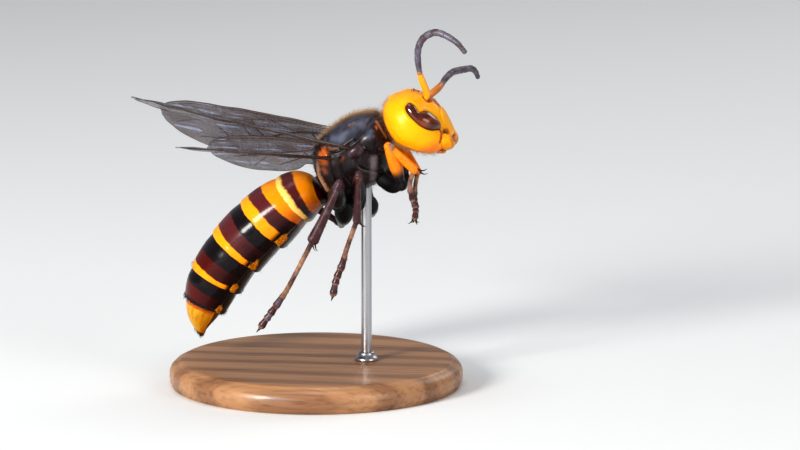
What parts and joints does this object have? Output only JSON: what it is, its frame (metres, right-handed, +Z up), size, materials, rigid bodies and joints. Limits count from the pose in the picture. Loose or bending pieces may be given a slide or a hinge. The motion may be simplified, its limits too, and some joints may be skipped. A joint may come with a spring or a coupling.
{
  "type": "asian giant hornet",
  "caption": "Life-size asian giant hornet in flight, wings raised back, legs trailing and tail curved down, held over a round base by one thin rod.",
  "frame": {"origin": "middle of the stand base's flat underside, on the floor", "axes": "+X the way the head points, +Y the hornet's left side, +Z up"},
  "size_m": [0.0392, 0.0365, 0.0423],
  "materials": {
    "yellow_shell": "glossy yellow shell of the head",
    "orange_shell": "glossy orange shell of the jaws, front legs and tail tip",
    "dark_shell": "glossy near-black shell with a bluish sheen",
    "banded_shell": "glossy shell banded orange, purplish brown and yellow",
    "eye": "very glossy dark red-brown",
    "leg": "glossy reddish brown",
    "feeler": "satin reddish brown",
    "wing": "smoky brown, partly see-through membrane with brown veins",
    "stand_wood": "plain satin wood",
    "stand_steel": "plain steel"
  },
  "bodies": {
    "root": {"antenna_L_base": "feeler", "antenna_L_scape": "orange_shell", "antenna_L_tip": "feeler", "antenna_R_base": "feeler", "antenna_R_scape": "orange_shell", "antenna_R_tip": "feeler", "clypeus": "yellow_shell", "eye_L": "eye", "eye_R": "eye", "forewing_L": "wing", "forewing_R": "wing", "gaster_1": "banded_shell", "gaster_2": "banded_shell", "gaster_3": "banded_shell", "gaster_4": "banded_shell", "gaster_5": "banded_shell", "gaster_6": "orange_shell", "head": "yellow_shell", "hindwing_L": "wing", "hindwing_R": "wing", "leg_front_L_coxa": "dark_shell", "leg_front_L_femur": "orange_shell", "leg_front_L_tarsus": "leg", "leg_front_L_tibia": "orange_shell", "leg_front_R_coxa": "dark_shell", "leg_front_R_femur": "orange_shell", "leg_front_R_tarsus": "leg", "leg_front_R_tibia": "orange_shell", "leg_hind_L_coxa": "dark_shell", "leg_hind_L_femur": "dark_shell", "leg_hind_L_tarsus": "leg", "leg_hind_L_tibia": "leg", "leg_hind_R_coxa": "dark_shell", "leg_hind_R_femur": "dark_shell", "leg_hind_R_tarsus": "leg", "leg_hind_R_tibia": "leg", "leg_mid_L_coxa": "dark_shell", "leg_mid_L_femur": "dark_shell", "leg_mid_L_tarsus": "leg", "leg_mid_L_tibia": "leg", "leg_mid_R_coxa": "dark_shell", "leg_mid_R_femur": "dark_shell", "leg_mid_R_tarsus": "leg", "leg_mid_R_tibia": "leg", "mandible_L": "orange_shell", "mandible_R": "orange_shell", "petiole": "dark_shell", "pronotum": "dark_shell", "propodeum": "dark_shell", "scutellum": "dark_shell", "stand_base": "stand_wood", "stand_rod": "stand_steel", "tegula_L": "dark_shell", "tegula_R": "dark_shell", "thorax": "dark_shell"}
  },
  "joints": []
}
